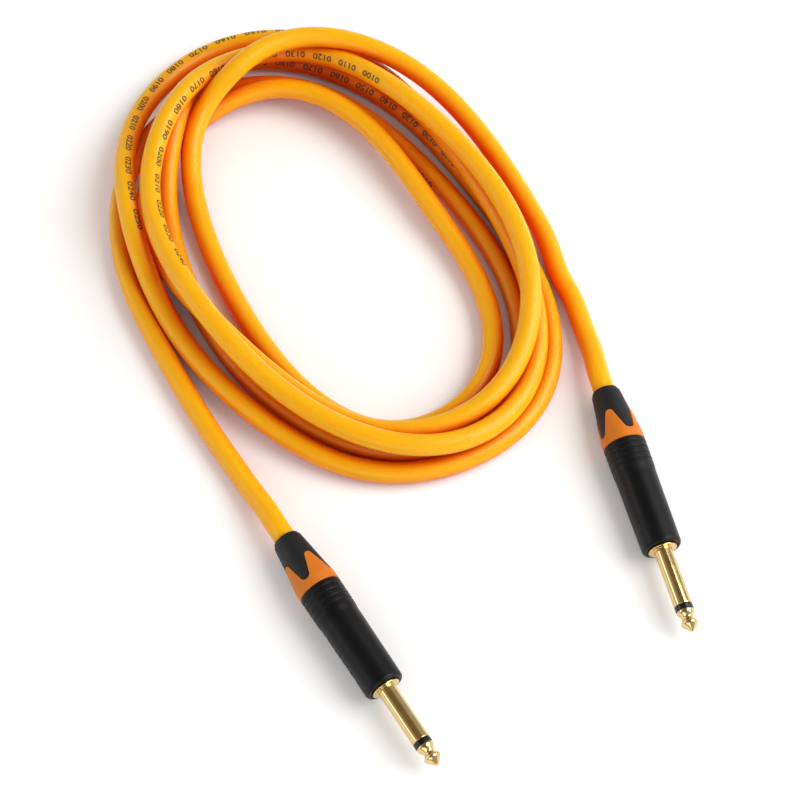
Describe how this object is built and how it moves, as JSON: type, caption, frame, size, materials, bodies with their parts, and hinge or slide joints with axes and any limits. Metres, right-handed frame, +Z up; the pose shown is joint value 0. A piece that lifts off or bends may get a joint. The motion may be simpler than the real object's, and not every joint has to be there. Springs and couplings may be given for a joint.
{
  "type": "instrument cable",
  "caption": "Coiled instrument lead with an orange jacket, black handles, pronged orange relief nuts and gold two-pole plugs.",
  "frame": {"origin": "on the surface that the lead lies on, at the middle of the box that holds the two plugs", "axes": "+Z up, +X to the right and +Y away, with the coil behind the plugs and both plugs pointing forward"},
  "size_m": [0.2101, 0.306, 0.0276],
  "materials": {
    "jacket": "satin",
    "relief_nut": "satin",
    "boot_rubber": "matte",
    "handle": "satin",
    "chuck_plastic": "satin",
    "gold_contact": "polished",
    "insert_plastic": "satin",
    "insulation": "satin",
    "ring_plastic": "satin",
    "tinned_metal": "satin",
    "copper": "satin"
  },
  "bodies": {
    "lead": {"jacket_coil": "jacket", "jacket_tail_a": "jacket", "jacket_tail_b": "jacket", "shell_a": "handle", "sleeve_a": "gold_contact", "insert_a": "insert_plastic", "inner_insulator_a": "insulation", "ring_a": "ring_plastic", "tip_a": "gold_contact", "ground_lug_a": "tinned_metal", "ground_solder_a": "tinned_metal", "tip_solder_a": "tinned_metal", "jacket_end_a": "jacket", "screen_end_a": "copper", "dielectric_a": "insulation", "conductor_a": "copper", "shell_b": "handle", "sleeve_b": "gold_contact", "insert_b": "insert_plastic", "inner_insulator_b": "insulation", "ring_b": "ring_plastic", "tip_b": "gold_contact", "ground_lug_b": "tinned_metal", "ground_solder_b": "tinned_metal", "tip_solder_b": "tinned_metal", "jacket_end_b": "jacket", "screen_end_b": "copper", "dielectric_b": "insulation", "conductor_b": "copper"},
    "chuck_a": {"chuck_a": "chuck_plastic"},
    "relief_a": {"relief_nut_a": "relief_nut", "boot_a": "boot_rubber"},
    "chuck_b": {"chuck_b": "chuck_plastic"},
    "relief_b": {"relief_nut_b": "relief_nut", "boot_b": "boot_rubber"}
  },
  "joints": [
    {"name": "chuck_slide_a", "type": "slide", "parent": "lead", "child": "chuck_a", "axis": [-0.5373, 0.8434, 0], "range_m": [0, 0.006]},
    {"name": "relief_turn_a", "type": "hinge", "parent": "chuck_a", "child": "relief_a", "pos_m": [-0.033, -0.0437, 0.00765], "axis": [-0.5373, 0.8434, 0], "range_deg": [0, 1440]},
    {"name": "chuck_slide_b", "type": "slide", "parent": "lead", "child": "chuck_b", "axis": [-0.2588, 0.9659, 0], "range_m": [0, 0.006]},
    {"name": "relief_turn_b", "type": "hinge", "parent": "chuck_b", "child": "relief_b", "pos_m": [0.0616, 0.0066, 0.00765], "axis": [-0.2588, 0.9659, 0], "range_deg": [0, 1440]}
  ],
  "couplings": [
    {"joint": "relief_turn_a", "follows": "chuck_slide_a", "rad_per_m": 4188.8},
    {"joint": "relief_turn_b", "follows": "chuck_slide_b", "rad_per_m": 4188.8}
  ]
}
